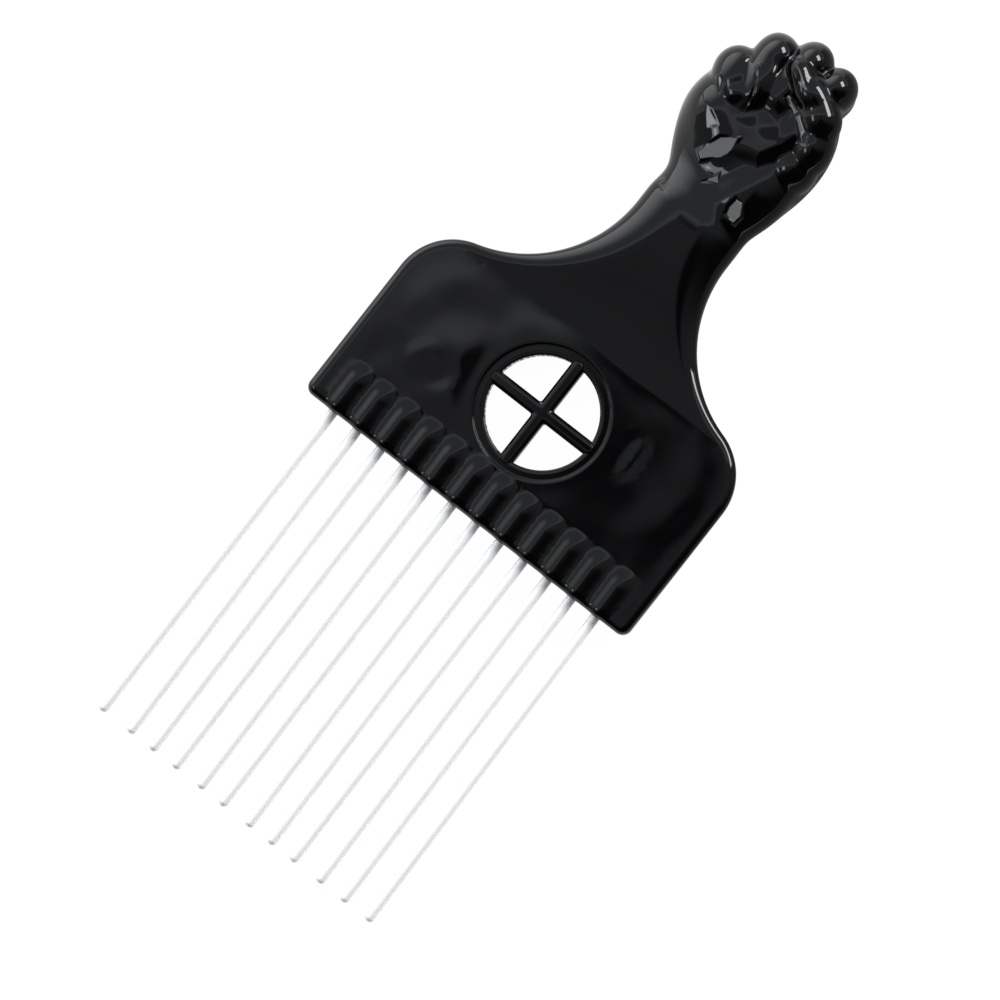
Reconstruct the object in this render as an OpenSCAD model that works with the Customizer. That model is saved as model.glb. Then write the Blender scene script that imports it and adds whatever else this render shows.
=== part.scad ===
// Fork comb: a moulded handle with a clenched fist, and a row of steel wire tines.
// The comb lies flat. X runs across it, Y along it towards the fist, and Z out of its front face.
// The origin is the middle of the plate's lower edge, where the tines come out.

/* [Plate] */
// Width of the plate
plate_w = 71.2; // [66:0.1:90]
// Thickness of the plate
plate_t = 5.2; // [4.6:0.1:8]
// Rounding of the plate's edges
edge_r = 1.5; // [0.8:0.1:1.7]
// Radius of the plate's two lower corners
corner_r = 1.8; // [1.5:0.1:5]
// Height of the shoulders' centre above the lower edge
shoulder_y = 27.6; // [24:0.1:36]
// Radius of the shoulders
shoulder_r = 11.4; // [8:0.1:14]
// Radius of the hollow sweep from a shoulder to the neck
sweep_r = 24.3; // [20:0.1:30]

/* [Neck] */
// Width of the neck
neck_w = 19.5; // [16:0.1:24]
// Length of the straight neck above the sweep
neck_len = 2.6; // [1:0.1:10]
// Thickness of the wrist at the top of the neck
wrist_t = 12.2; // [9:0.1:15]

/* [Fist] */
// Width of the fist
fist_w = 28.4; // [24:0.1:34]
// Height of the fist above the neck
fist_h = 38.4; // [32:0.1:46]
// Depth of the fist from its back to its palm side
fist_t = 19.0; // [16:0.1:24]
// Softness of the creases between the fingers
crease_soft = 0.4; // [0.2:0.05:0.6]
// Softness of the hollows in the palm
palm_soft = 0.8; // [0.5:0.1:1.4]

/* [Ring and cross] */
// Height of the ring's centre above the lower edge
ring_y = 22.3; // [20:0.1:26]
// Diameter of the opening
opening_d = 20.2; // [16:0.1:22]
// Width of the recessed ledge round the opening
ledge_w = 2.0; // [1:0.1:3]
// Depth of the recess below each face
recess_depth = 0.9; // [0.4:0.1:1.4]
// Width of the cross bars
bar_w = 2.6; // [1.8:0.1:3.4]
// Width of the flat on top of a cross bar
bar_flat_w = 1.5; // [0.8:0.1:1.7]
// Depth of the cross bars below each face
bar_drop = 0.6; // [0.4:0.1:1.2]
// Height of the bevels along the cross bars
bar_bevel = 0.5; // [0.2:0.1:0.8]

/* [Tines] */
// Number of tines
tine_count = 12; // [6:1:12]
// Diameter of the wire
tine_d = 1.8; // [1.2:0.1:2.2]
// Distance from the middle of an outer tine to the plate's side
tine_margin = 6.45; // [4:0.05:9]
// Length of a tine below the plate
tine_reach = 66.3; // [40:0.1:90]
// Length of a tine inside the plate
tine_root = 10.4; // [6:0.1:11]

/* [Ribs] */
// Width of the rib over each tine's root
rib_w = 2.6; // [2:0.1:3.4]
// Height of the ribs above each face
rib_rise = 0.7; // [0.4:0.05:1]
// Length of the ribs
rib_len = 10.2; // [8:0.1:12]

/* [Hidden] */
$fn = 64;
overrun = 1;                            // how far a cut runs past its face
half_t = plate_t / 2;
half_w = plate_w / 2;
neck_half = neck_w / 2;
recess_d = opening_d + 2 * ledge_w;
tine_pitch = (plate_w - 2 * tine_margin) / (tine_count - 1);

// The rounded edge can't be larger than the corner or the half thickness leaves room for
edge_room_share = 0.9;
rim_r = min(edge_r, corner_r * edge_room_share, half_t * edge_room_share);

// Centres of the shoulder arc and of the hollow sweep, which touch on the line that joins them
shoulder_c = [half_w - shoulder_r, shoulder_y];
sweep_dx = neck_half + sweep_r - shoulder_c.x;
sweep_c = [neck_half + sweep_r, shoulder_y + sqrt(pow(shoulder_r + sweep_r, 2) - pow(sweep_dx, 2))];
touch_angle = atan2(sweep_c.y - shoulder_c.y, sweep_dx);
wrist_y = sweep_c.y + neck_len;

// The neck swells between these shares of the way from the ring's top to the wrist
swell_from_share = 0.05;
swell_to_share = 1.0;
swell_from_y = ring_y + recess_d / 2 + swell_from_share * (wrist_y - ring_y - recess_d / 2);
swell_to_y = ring_y + recess_d / 2 + swell_to_share * (wrist_y - ring_y - recess_d / 2);
neck_round_share = 0.8;                 // share of the neck's half width that is rounded
neck_edge_share = 0.12;                 // share of the wrist's half thickness left as a straight edge

// How finely the moulding is drawn
BASE_STEPS = 12;
CORNER_STEPS = 4;
SIDE_STEPS = 3;
SHOULDER_STEPS = 8;
SWEEP_STEPS = 14;
NECK_STEPS = 2;
RIM_STEPS = 6;
PALM_STEPS = 20;
CROWN_STEPS = 50;

function smooth(x) = let (q = min(max(x, 0), 1)) q * q * (3 - 2 * q);
function mix(a, b, w) = a + (b - a) * w;
function swell(y) = smooth((y - swell_from_y) / (swell_to_y - swell_from_y));

// Half thickness, width of the rounding and height of the rounding at a height above the lower edge
function half_thick(y) = mix(half_t, wrist_t / 2, swell(y));
function round_w(y) = mix(rim_r, neck_round_share * neck_half, swell(y));
function round_h(y) = mix(rim_r, (1 - neck_edge_share) * wrist_t / 2, swell(y));

// The outline's right half from the middle of the base to the wrist, as [x, y, inward normal]
function bow(c, r, from, to, steps, inward) =
    [for (i = [1 : steps]) let (a = mix(from, to, i / steps), n = [cos(a), sin(a)])
        [c.x + r * n.x, c.y + r * n.y, inward * n.x, inward * n.y]];

OUTLINE = concat(
    [for (i = [0 : BASE_STEPS]) [(half_w - corner_r) * i / BASE_STEPS, 0, 0, 1]],
    bow([half_w - corner_r, corner_r], corner_r, -90, 0, CORNER_STEPS, -1),
    [for (i = [1 : SIDE_STEPS]) [half_w, mix(corner_r, shoulder_y, i / SIDE_STEPS), -1, 0]],
    bow(shoulder_c, shoulder_r, 0, touch_angle, SHOULDER_STEPS, -1),
    bow(sweep_c, sweep_r, touch_angle + 180, 180, SWEEP_STEPS, 1),
    [for (i = [1 : NECK_STEPS]) [neck_half, mix(sweep_c.y, wrist_y, i / NECK_STEPS), -1, 0]]);
LAST = len(OUTLINE) - 1;
RING = RIM_STEPS + 1;                   // points from the edge to the flat
ACROSS = 2 * BASE_STEPS - 1;            // points across the flat, between its two ends

// A point of the rounded rim: u counts along the outline from the left wrist to the right one,
// and k goes from the edge to the flat
function rim_point(u, k) =
    let (
        o = OUTLINE[abs(u)],
        a = 90 * k / RIM_STEPS,
        inset = round_w(o[1]) * (1 - cos(a)),
        x = o[0] + o[2] * inset,
        y = o[1] + o[3] * inset)
    [u < 0 ? -x : x, y, half_thick(y) - round_h(y) * (1 - sin(a))];

// A point of the flat between the two ends of a row
function flat_point(row, j) =
    let (e = rim_point(row, RIM_STEPS)) [e.x * (1 - j / BASE_STEPS), e.y, half_thick(e.y)];

FRONT = concat(
    [for (u = [-LAST : LAST], k = [0 : RIM_STEPS]) rim_point(u, k)],
    [for (row = [BASE_STEPS + 1 : LAST], j = [1 : ACROSS]) flat_point(row, j)]);
BACK = [for (p = FRONT) [p.x, p.y, -p.z]];
BACK_FROM = len(FRONT);
FIST_FROM = 2 * BACK_FROM;

// Places of those points in the list
function rim(u, k) = (u + LAST) * RING + k;
function flat(row, j) =
    j == 0 ? rim(row, RIM_STEPS) :
    j == ACROSS + 1 ? rim(-row, RIM_STEPS) :
    row == BASE_STEPS ? rim(BASE_STEPS - j, RIM_STEPS) :
    (2 * LAST + 1) * RING + (row - BASE_STEPS - 1) * ACROSS + j - 1;

// Two triangles from a quad, and the same quad seen from behind
function quad(a, b, c, d) = [[c, b, a], [d, c, a]];
function flip(faces) = [for (f = faces) [f[2] + BACK_FROM, f[1] + BACK_FROM, f[0] + BACK_FROM]];
function flat_list(lists) = [for (l = lists, e = l) e];

FRONT_FACES = concat(
    flat_list([for (u = [-LAST : LAST - 1], k = [0 : RIM_STEPS - 1])
        quad(rim(u, k), rim(u + 1, k), rim(u + 1, k + 1), rim(u, k + 1))]),
    flat_list([for (row = [BASE_STEPS : LAST - 1], j = [0 : ACROSS])
        quad(flat(row, j), flat(row + 1, j), flat(row + 1, j + 1), flat(row, j + 1))]));
EDGE_FACES = flat_list([for (u = [-LAST : LAST - 1])
    quad(rim(u, 0) + BACK_FROM, rim(u + 1, 0) + BACK_FROM, rim(u + 1, 0), rim(u, 0))]);

// The closed loop of points round the wrist, from its right edge over the front to the left and back
WRIST_TOP = concat(
    [for (k = [0 : RIM_STEPS]) rim(LAST, k)],
    [for (j = [1 : ACROSS]) flat(LAST, j)],
    [for (k = [RIM_STEPS : -1 : 0]) rim(-LAST, k)]);
HALF_LOOP = len(WRIST_TOP);
LOOP = 2 * HALF_LOOP;
WRIST_LOOP = concat(WRIST_TOP, [for (i = [HALF_LOOP - 1 : -1 : 0]) WRIST_TOP[i] + BACK_FROM]);

// The fist is a set of soft lumps. Places and half sizes are shares of the fist's half width,
// its height and its half depth, counted from the middle of the wrist. The last number of a row
// is the lump's lean in degrees.
//   x      y      z     half x half y half z lean
palm_shares = [
    [-0.03, 0.456, -0.21, 0.91, 0.401, 0.74, 0],
    [0.0, -0.026, -0.02, 0.68, 0.365, 0.62, 0],
    [-0.2, 0.471, 0.11, 0.62, 0.271, 0.66, 24],
    [0.37, 0.284, 0.19, 0.44, 0.245, 0.55, -4],
    [-0.58, 0.492, 0.04, 0.38, 0.146, 0.66, 0],
    [-0.63, 0.487, -0.11, 0.31, 0.167, 0.48, 0],
    [-0.05, 0.591, -0.38, 0.83, 0.286, 0.46, 0],
    [-0.08, 0.633, 0.13, 0.73, 0.214, 0.65, 0],
    [0.06, 0.794, 0.04, 0.51, 0.146, 0.59, 0]];
knuckle_shares = [
    [-0.7, 0.672, 0.17, 0.29, 0.112, 0.61, 0],
    [-0.41, 0.826, 0.23, 0.27, 0.112, 0.65, 0],
    [-0.01, 0.891, 0.27, 0.27, 0.112, 0.65, 0],
    [0.42, 0.862, 0.29, 0.27, 0.112, 0.65, 0]];
back_shares = [
    [-0.72, 0.664, -0.15, 0.27, 0.107, 0.55, 0],
    [-0.41, 0.815, -0.13, 0.27, 0.109, 0.59, 0],
    [0.0, 0.875, -0.13, 0.27, 0.109, 0.61, 0],
    [0.42, 0.849, -0.13, 0.27, 0.107, 0.59, 0]];
finger_shares = [
    [-0.63, 0.633, 0.27, 0.32, 0.154, 0.58, 26],
    [-0.35, 0.69, 0.34, 0.3, 0.234, 0.61, 17],
    [-0.07, 0.68, 0.29, 0.31, 0.234, 0.61, 8],
    [0.31, 0.643, 0.25, 0.32, 0.172, 0.59, 0]];
fingertip_shares = [
    [-0.49, 0.581, 0.28, 0.27, 0.089, 0.57, 26],
    [-0.24, 0.544, 0.35, 0.25, 0.094, 0.58, 18],
    [0.03, 0.56, 0.32, 0.26, 0.094, 0.58, 8],
    [0.32, 0.581, 0.28, 0.25, 0.089, 0.55, 0]];
thumb_shares = [
    [0.24, 0.776, 0.66, 0.35, 0.089, 0.44, -18],
    [0.49, 0.716, 0.57, 0.34, 0.102, 0.49, -44],
    [0.63, 0.596, 0.38, 0.39, 0.102, 0.56, -72],
    [0.58, 0.466, 0.17, 0.32, 0.12, 0.61, 0],
    [-0.01, 0.818, 0.8, 0.22, 0.06, 0.29, -38]];
detail_shares = concat(knuckle_shares, back_shares, finger_shares, fingertip_shares, thumb_shares);
// Height of the fist's middle above the wrist, from which the crown is drawn
crown_share = 0.66;
// The wrist turns into the fist over this share of the fist's height
wrist_blend_share = 0.12;

crown_y = wrist_y + crown_share * fist_h;
fist_scale = [fist_w / 2, fist_h, fist_t / 2];
// A ray is followed inwards from this far out, in this many steps of at most this length
ray_start = 0.6 * fist_h;
ray_stride = 0.15 * fist_h;
RAY_STEPS = 14;
SLOPE_FLOOR = 0.05;                     // the least slope a step is worked out from

function by(a, b) = [a.x * b.x, a.y * b.y, a.z * b.z];
function over(a, b) = [a.x / b.x, a.y / b.y, a.z / b.z];
function lean(v, a) = [v.x * cos(a) + v.y * sin(a), v.y * cos(a) - v.x * sin(a), v.z];
function total(v) = v * [for (x = v) 1];

// The squared distance to a lump's middle along a ray from o towards d, in lump sizes, as the three
// numbers of a quadratic, and with them the lump's least half size
function quadratic(s, o, d) =
    let (
        size = by([s[3], s[4], s[5]], fist_scale),
        centre = [0, wrist_y, 0] + by([s[0], s[1], s[2]], fist_scale),
        p = over(lean(o - centre, s[6]), size),
        v = over(lean(d, s[6]), size))
    [v * v, p * v, p * p, min(size)];

// The distance to a lump's skin at r along the ray, and how fast it grows
function lump_at(q, r) =
    let (far = sqrt(q[0] * r * r + 2 * q[1] * r + q[2]))
    [(far - 1) * q[3], q[3] * (q[0] * r + q[1]) / far];

// Lumps joined softly
function join(lumps, soft) =
    let (
        least = min([for (f = lumps) f[0]]),
        w = [for (f = lumps) exp((least - f[0]) / soft)])
    [least - soft * ln(total(w)), w * [for (f = lumps) f[1]] / total(w)];

// How far a ray goes from inside the fist to its skin
function follow(palm, detail, r, steps) =
    steps == 0 ? r :
    let (
        soft_palm = join([for (q = palm) lump_at(q, r)], palm_soft),
        f = join(concat([soft_palm], [for (q = detail) lump_at(q, r)]), crease_soft),
        slope = abs(f[1]) < SLOPE_FLOOR ? SLOPE_FLOOR : f[1])
    follow(palm, detail, max(r - min(max(f[0] / slope, -ray_stride), ray_stride), 0), steps - 1);
function fist_reach(o, d) =
    follow(
        [for (s = palm_shares) quadratic(s, o, d)],
        [for (s = detail_shares) quadratic(s, o, d)],
        ray_start, RAY_STEPS);

// How far the neck's section reaches from its middle at angle a
function neck_reach(a, y) =
    let (
        c = abs(cos(a)),
        s = abs(sin(a)),
        rw = round_w(y),
        rh = round_h(y),
        core = [neck_half - rw, half_thick(y) - rh],
        p = [-core.x / rw, -core.y / rh],
        v = [c / rw, s / rh],
        k = v * v,
        b = p * v,
        r = (-b + sqrt(max(b * b - k * (p * p - 1), 0))) / k)
    r * c < core.x ? half_thick(y) / s : r * s < core.y ? neck_half / c : r;

// The fist is drawn as level loops from the wrist up to its middle. Above that it is drawn as half
// circles from its back to its front, which turn from the right side over the top to the left side.
LEVELS = [for (i = [1 : PALM_STEPS]) mix(wrist_y, crown_y, i / PALM_STEPS)];
function wrist_angle(j) =
    let (p = concat(FRONT, BACK)[WRIST_LOOP[j]], a = atan2(p.z, p.x)) a < 0 ? a + 360 : a;
WRIST_ANGLES = [for (j = [0 : LOOP - 1]) wrist_angle(j)];
function palm_skin() = [for (y = LEVELS, j = [0 : LOOP - 1])
    let (
        w = smooth((y - wrist_y) / (wrist_blend_share * fist_h)),
        a = mix(WRIST_ANGLES[j], 360 * (j + 0.5) / LOOP, w),
        d = [cos(a), 0, sin(a)],
        o = [0, y, 0],
        r = mix(w < 1 ? neck_reach(a, y) : 0, fist_reach(o, d), w))
    o + r * d];
function crown_skin() = [for (k = [1 : CROWN_STEPS - 1], m = [1 : HALF_LOOP - 1])
    let (
        turn = 180 * k / CROWN_STEPS,
        rise = 180 * m / HALF_LOOP - 90,
        o = [0, crown_y, 0],
        d = [cos(rise) * cos(turn), cos(rise) * sin(turn), sin(rise)])
    o + fist_reach(o, d) * d];

// The half circles begin at the loop's rearmost point and end at its foremost
BACK_OF_LOOP = HALF_LOOP + (HALF_LOOP - 1) / 2;
CROWN_FROM = FIST_FROM + PALM_STEPS * LOOP;
function loop(s, j) = s == 0 ? WRIST_LOOP[j % LOOP] : FIST_FROM + (s - 1) * LOOP + j % LOOP;
function arc(k, m) =
    k == 0 || m == 0 || m == HALF_LOOP ? loop(PALM_STEPS, BACK_OF_LOOP + m) :
    k == CROWN_STEPS ? loop(PALM_STEPS, BACK_OF_LOOP - m) :
    CROWN_FROM + (k - 1) * (HALF_LOOP - 1) + m - 1;
function arc_faces(k, m) =
    let (q = quad(arc(k, m), arc(k + 1, m), arc(k + 1, m + 1), arc(k, m + 1)))
    m == 0 ? [q[1]] : m == HALF_LOOP - 1 ? [q[0]] : q;
FIST_FACES = concat(
    flat_list([for (s = [0 : PALM_STEPS - 1], j = [0 : LOOP - 1])
        quad(loop(s, j), loop(s + 1, j), loop(s + 1, j + 1), loop(s, j + 1))]),
    flat_list([for (k = [0 : CROWN_STEPS - 1], m = [0 : HALF_LOOP - 1]) arc_faces(k, m)]));

// Tines are counted from the left, and a real wire's tip drifts sideways by a share of the pitch
drift_shares = [0.04, 0.22, 0.15, 0.11, 0.18, 0.10, 0.21, 0.15, 0.08, 0.20, 0.21, 0.24];
function tine_x(i) = (i - (tine_count + 1) / 2) * tine_pitch;
function tine_lean(i) = atan(drift_shares[i - 1] * tine_pitch / tine_reach);
function tine_name(i) = str("tine_", i < 10 ? "0" : "", i);

rib_r = (pow(rib_rise, 2) + pow(rib_w / 2, 2)) / (2 * rib_rise);
bar_reach = (opening_d + ledge_w) / 2;   // the bars end on the ledge, half way across it

// A round rod along +Y from the origin, with a dome at its far end or at both ends
module rod(r, length, domes = 1) {
    rotate([-90, 0, 0])
        rotate_extrude()
            intersection() {
                union() {
                    translate([0, domes == 2 ? r : 0])
                        square([r, length - domes * r]);
                    translate([0, length - r])
                        circle(r);
                    if (domes == 2)
                        translate([0, r])
                            circle(r);
                }
                square([r, length]);
            }
}

// Puts its children where tine i leaves the plate, turned along the wire
module at_tine(i) {
    translate([tine_x(i), 0, 0])
        rotate([0, 0, tine_lean(i)])
            children();
}

// The plate, neck and fist as one skin
module blank() {
    polyhedron(
        points = concat(FRONT, BACK, palm_skin(), crown_skin()),
        faces = concat(FRONT_FACES, flip(FRONT_FACES), EDGE_FACES, FIST_FACES),
        convexity = 6);
}

// A half-round rib with round ends over each tine's root, on both faces
module ribs() {
    for (i = [1 : tine_count], side = [-1, 1])
        at_tine(i)
            translate([0, 0, side * (half_t + rib_rise - rib_r)])
                rod(rib_r, rib_len, 2);
}

// The round opening with the recess that goes round it on both faces
module ring_cut() {
    translate([0, ring_y, -half_t - overrun])
        cylinder(d = opening_d, h = plate_t + 2 * overrun);
    for (side = [0, 1])
        mirror([0, 0, side])
            translate([0, ring_y, half_t - recess_depth])
                cylinder(d = recess_d, h = recess_depth + overrun);
}

// The section of a cross bar: flat on both faces, bevelled beside the flats
module bar_section() {
    top = half_t - bar_drop;
    for (turn = [0, 1])
        mirror([0, turn])
            polygon([
                [-bar_w / 2, 0],
                [bar_w / 2, 0],
                [bar_w / 2, top - bar_bevel],
                [bar_flat_w / 2, top],
                [-bar_flat_w / 2, top],
                [-bar_w / 2, top - bar_bevel]]);
}

module ring_cross() {
    translate([0, ring_y, 0])
        intersection() {
            for (turn = [0, 90])
                rotate([0, 0, turn])
                    rotate([90, 0, 90])
                        translate([0, 0, -recess_d / 2])
                            linear_extrude(recess_d)
                                bar_section();
            cylinder(r = bar_reach, h = plate_t, center = true);
        }
}

module sockets() {
    for (i = [1 : tine_count])
        at_tine(i)
            translate([0, -overrun, 0])
                rotate([-90, 0, 0])
                    cylinder(d = tine_d, h = overrun + tine_root);
}

module handle() {
    color([0.05, 0.05, 0.055]) {
        difference() {
            union() {
                blank();
                ribs();
            }
            ring_cut();
            sockets();
        }
        ring_cross();
    }
}

module tine(i) {
    color([0.82, 0.83, 0.85])
        at_tine(i)
            translate([0, tine_root, 0])
                mirror([0, 1, 0])
                    rod(tine_d / 2, tine_root + tine_reach);
}

handle();
for (i = [1 : tine_count])
    tine(i);
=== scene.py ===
"""Looks of the fork comb: a glossy moulded handle with a clenched fist, and bright wire tines."""
import math

import bpy
import numpy as np
from mathutils import Matrix, Vector, noise
from mathutils.geometry import delaunay_2d_cdt


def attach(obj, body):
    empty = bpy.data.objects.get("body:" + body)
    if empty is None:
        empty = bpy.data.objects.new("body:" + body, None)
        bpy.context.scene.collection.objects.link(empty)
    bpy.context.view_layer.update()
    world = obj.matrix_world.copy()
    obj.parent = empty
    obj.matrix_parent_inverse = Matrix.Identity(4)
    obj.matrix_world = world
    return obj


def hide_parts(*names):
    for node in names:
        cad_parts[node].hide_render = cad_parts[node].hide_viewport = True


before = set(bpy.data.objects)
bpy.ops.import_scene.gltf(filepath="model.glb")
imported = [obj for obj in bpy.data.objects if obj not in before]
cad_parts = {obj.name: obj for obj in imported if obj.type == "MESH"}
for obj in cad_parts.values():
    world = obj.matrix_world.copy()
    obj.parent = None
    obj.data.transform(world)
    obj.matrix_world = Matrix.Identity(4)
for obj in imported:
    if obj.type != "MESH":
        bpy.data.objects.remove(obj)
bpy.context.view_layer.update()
MM = 0.001

# sizes, in millimetres
PLATE_W, PLATE_T, EDGE_R, CORNER_R = 71.2, 5.2, 1.5, 1.8
SHOULDER_Y, SHOULDER_R, SWEEP_R = 27.6, 11.4, 24.3
NECK_HALF, NECK_LEN, WRIST_T = 9.75, 2.6, 12.2
FIST_W, FIST_H, FIST_T = 28.4, 38.4, 19.0
RING_Y, OPENING_R, RECESS_R, RECESS = 22.3, 10.1, 12.1, 0.9
BAR_HALF, BAR_FLAT, BAR_DROP, BAR_BEVEL = 1.3, 0.75, 0.6, 0.5
TINES, TINE_D, MARGIN, REACH, ROOT = 12, 1.8, 6.45, 66.3, 10.4
RIB_RISE, RIB_LEN, RIB_HALF, RIB_TAPER = 0.66, 10.2, 2.3, 3.8
# how far each tine's tip drifts sideways, as a share of the pitch
DRIFT = [0.04, 0.22, 0.15, 0.11, 0.18, 0.10, 0.21, 0.15, 0.08, 0.20, 0.21, 0.24]

# where the plate starts to swell, as a share of the way to the wrist, and the roundness of the wrist
SWELL_SHARE, WRIST_ROUND_W, WRIST_ROUND_H = 0.05, 0.8, 0.88
# height of the fist's middle above the wrist, from which the crown is drawn
CROWN_SHARE = 0.66
# farther than any distance on the comb
FAR = 99.0

HALF_T, HALF_W = PLATE_T / 2, PLATE_W / 2
PITCH = (PLATE_W - 2 * MARGIN) / (TINES - 1)
SHOULDER_C = np.array([HALF_W - SHOULDER_R, SHOULDER_Y])
SWEEP_DX = NECK_HALF + SWEEP_R - SHOULDER_C[0]
SWEEP_C = np.array([NECK_HALF + SWEEP_R,
                    SHOULDER_Y + math.sqrt((SHOULDER_R + SWEEP_R) ** 2 - SWEEP_DX ** 2)])
TOUCH = math.atan2(SWEEP_C[1] - SHOULDER_C[1], SWEEP_DX)
WRIST_Y = SWEEP_C[1] + NECK_LEN
CROWN_Y = WRIST_Y + CROWN_SHARE * FIST_H
SWELL_FROM = RING_Y + RECESS_R + SWELL_SHARE * (WRIST_Y - RING_Y - RECESS_R)


def smooth(x):
    """A soft step from 0 to 1."""
    q = np.clip(x, 0, 1)
    return q * q * (3 - 2 * q)


def mix(a, b, w):
    return a + (b - a) * w


def swell(y):
    """0 on the flat plate and 1 at the wrist."""
    return smooth((np.asarray(y, float) - SWELL_FROM) / (WRIST_Y - SWELL_FROM))


def half_thick(y):
    return mix(HALF_T, WRIST_T / 2, swell(y))


def round_w(y):
    return mix(EDGE_R, WRIST_ROUND_W * NECK_HALF, swell(y))


def round_h(y):
    return mix(EDGE_R, WRIST_ROUND_H * WRIST_T / 2, swell(y))


# the fist as soft lumps
# x, y, z and half sizes as shares of the fist's half width, height and half depth, and a lean in degrees
PALM = [
    (-0.03, 0.456, -0.21, 0.91, 0.401, 0.74, 0),
    (0.0, -0.026, -0.02, 0.68, 0.365, 0.62, 0),
    (-0.2, 0.471, 0.11, 0.62, 0.271, 0.66, 24),
    (0.37, 0.284, 0.19, 0.44, 0.245, 0.55, -4),
    (-0.58, 0.492, 0.04, 0.38, 0.146, 0.66, 0),
    (-0.63, 0.487, -0.11, 0.31, 0.167, 0.48, 0),
    (-0.05, 0.591, -0.38, 0.83, 0.286, 0.46, 0),
    (-0.08, 0.633, 0.13, 0.73, 0.214, 0.65, 0),
    (0.06, 0.794, 0.04, 0.51, 0.146, 0.59, 0)]
DETAIL = [
    # knuckles
    (-0.7, 0.672, 0.17, 0.29, 0.112, 0.61, 0),
    (-0.41, 0.826, 0.23, 0.27, 0.112, 0.65, 0),
    (-0.01, 0.891, 0.27, 0.27, 0.112, 0.65, 0),
    (0.42, 0.862, 0.29, 0.27, 0.112, 0.65, 0),
    # what is behind them
    (-0.72, 0.664, -0.15, 0.27, 0.107, 0.55, 0),
    (-0.41, 0.815, -0.13, 0.27, 0.109, 0.59, 0),
    (0.0, 0.875, -0.13, 0.27, 0.109, 0.61, 0),
    (0.42, 0.849, -0.13, 0.27, 0.107, 0.59, 0),
    # fingers
    (-0.63, 0.633, 0.27, 0.32, 0.154, 0.58, 26),
    (-0.35, 0.69, 0.34, 0.3, 0.234, 0.61, 17),
    (-0.07, 0.68, 0.29, 0.31, 0.234, 0.61, 8),
    (0.31, 0.643, 0.25, 0.32, 0.172, 0.59, 0),
    # fingertips
    (-0.49, 0.581, 0.28, 0.27, 0.089, 0.57, 26),
    (-0.24, 0.544, 0.35, 0.25, 0.094, 0.58, 18),
    (0.03, 0.56, 0.32, 0.26, 0.094, 0.58, 8),
    (0.32, 0.581, 0.28, 0.25, 0.089, 0.55, 0),
    # thumb
    (0.24, 0.776, 0.66, 0.35, 0.089, 0.44, -18),
    (0.49, 0.716, 0.57, 0.34, 0.102, 0.49, -44),
    (0.63, 0.596, 0.38, 0.39, 0.102, 0.56, -72),
    (0.58, 0.466, 0.17, 0.32, 0.12, 0.61, 0),
    (-0.01, 0.818, 0.8, 0.22, 0.06, 0.29, -38)]
PALM_SOFT, CREASE_SOFT = 0.8, 0.25


# how the distance along a ray is solved for
SOLVE_FROM, SOLVE_STEPS, LEAST_SLOPE, STRIDE = 0.6 * FIST_H, 15, 0.05, 0.15 * FIST_H
TINY = 1e-9


def quadratics(lumps, o, d):
    """For each lump, the terms of a ray's scaled distance from its centre, and its least half size."""
    out = []
    for s in lumps:
        size = np.array([s[3] * FIST_W / 2, s[4] * FIST_H, s[5] * FIST_T / 2])
        centre = np.array([s[0] * FIST_W / 2, WRIST_Y + s[1] * FIST_H, s[2] * FIST_T / 2])
        a = math.radians(s[6])
        turn = np.array([[math.cos(a), math.sin(a), 0], [-math.sin(a), math.cos(a), 0], [0, 0, 1]])
        p = ((o - centre) @ turn.T) / size
        v = (d @ turn.T) / size
        out.append(((v * v).sum(-1), (p * v).sum(-1), (p * p).sum(-1), size.min()))
    return out


def lumps_at(quads, r):
    """Height above each lump's surface at a distance along the rays, and its slope."""
    g, dg = [], []
    for a, b, c, m in quads:
        far = np.sqrt(np.maximum(a * r * r + 2 * b * r + c, TINY))
        g.append((far - 1) * m)
        dg.append(m * (a * r + b) / far)
    return g, dg


def join(g, dg, soft):
    """Soft union of several heights."""
    g, dg = np.array(g), np.array(dg)
    least = g.min(0)
    w = np.exp((least - g) / soft)
    total = w.sum(0)
    return least - soft * np.log(total), (w * dg).sum(0) / total


def fist_reach(o, d):
    """Distance from the points o, along the directions d, to the fist's skin."""
    palm, detail = quadratics(PALM, o, d), quadratics(DETAIL, o, d)
    r = np.full(o.shape[:-1], SOLVE_FROM)
    for _ in range(SOLVE_STEPS):
        f, df = join(*lumps_at(palm, r), PALM_SOFT)
        g, dg = lumps_at(detail, r)
        f, df = join([f] + g, [df] + dg, CREASE_SOFT)
        slope = np.where(np.abs(df) < LEAST_SLOPE, LEAST_SLOPE, df)
        r = np.maximum(r - np.clip(f / slope, -STRIDE, STRIDE), 0)
    return r


# the outline
def bow(c, r, start, end, steps, inward):
    """Points of an arc with their inward directions."""
    a = start + (end - start) * np.arange(1, steps + 1) / steps
    n = np.stack([np.cos(a), np.sin(a)], -1)
    return np.hstack([c + r * n, inward * n])


def line(p, q, n, steps):
    """Points of a straight line with their inward direction."""
    t = np.arange(1, steps + 1)[:, None] / steps
    return np.hstack([np.array(p) + (np.array(q) - np.array(p)) * t, np.tile(n, (steps, 1))])


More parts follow.
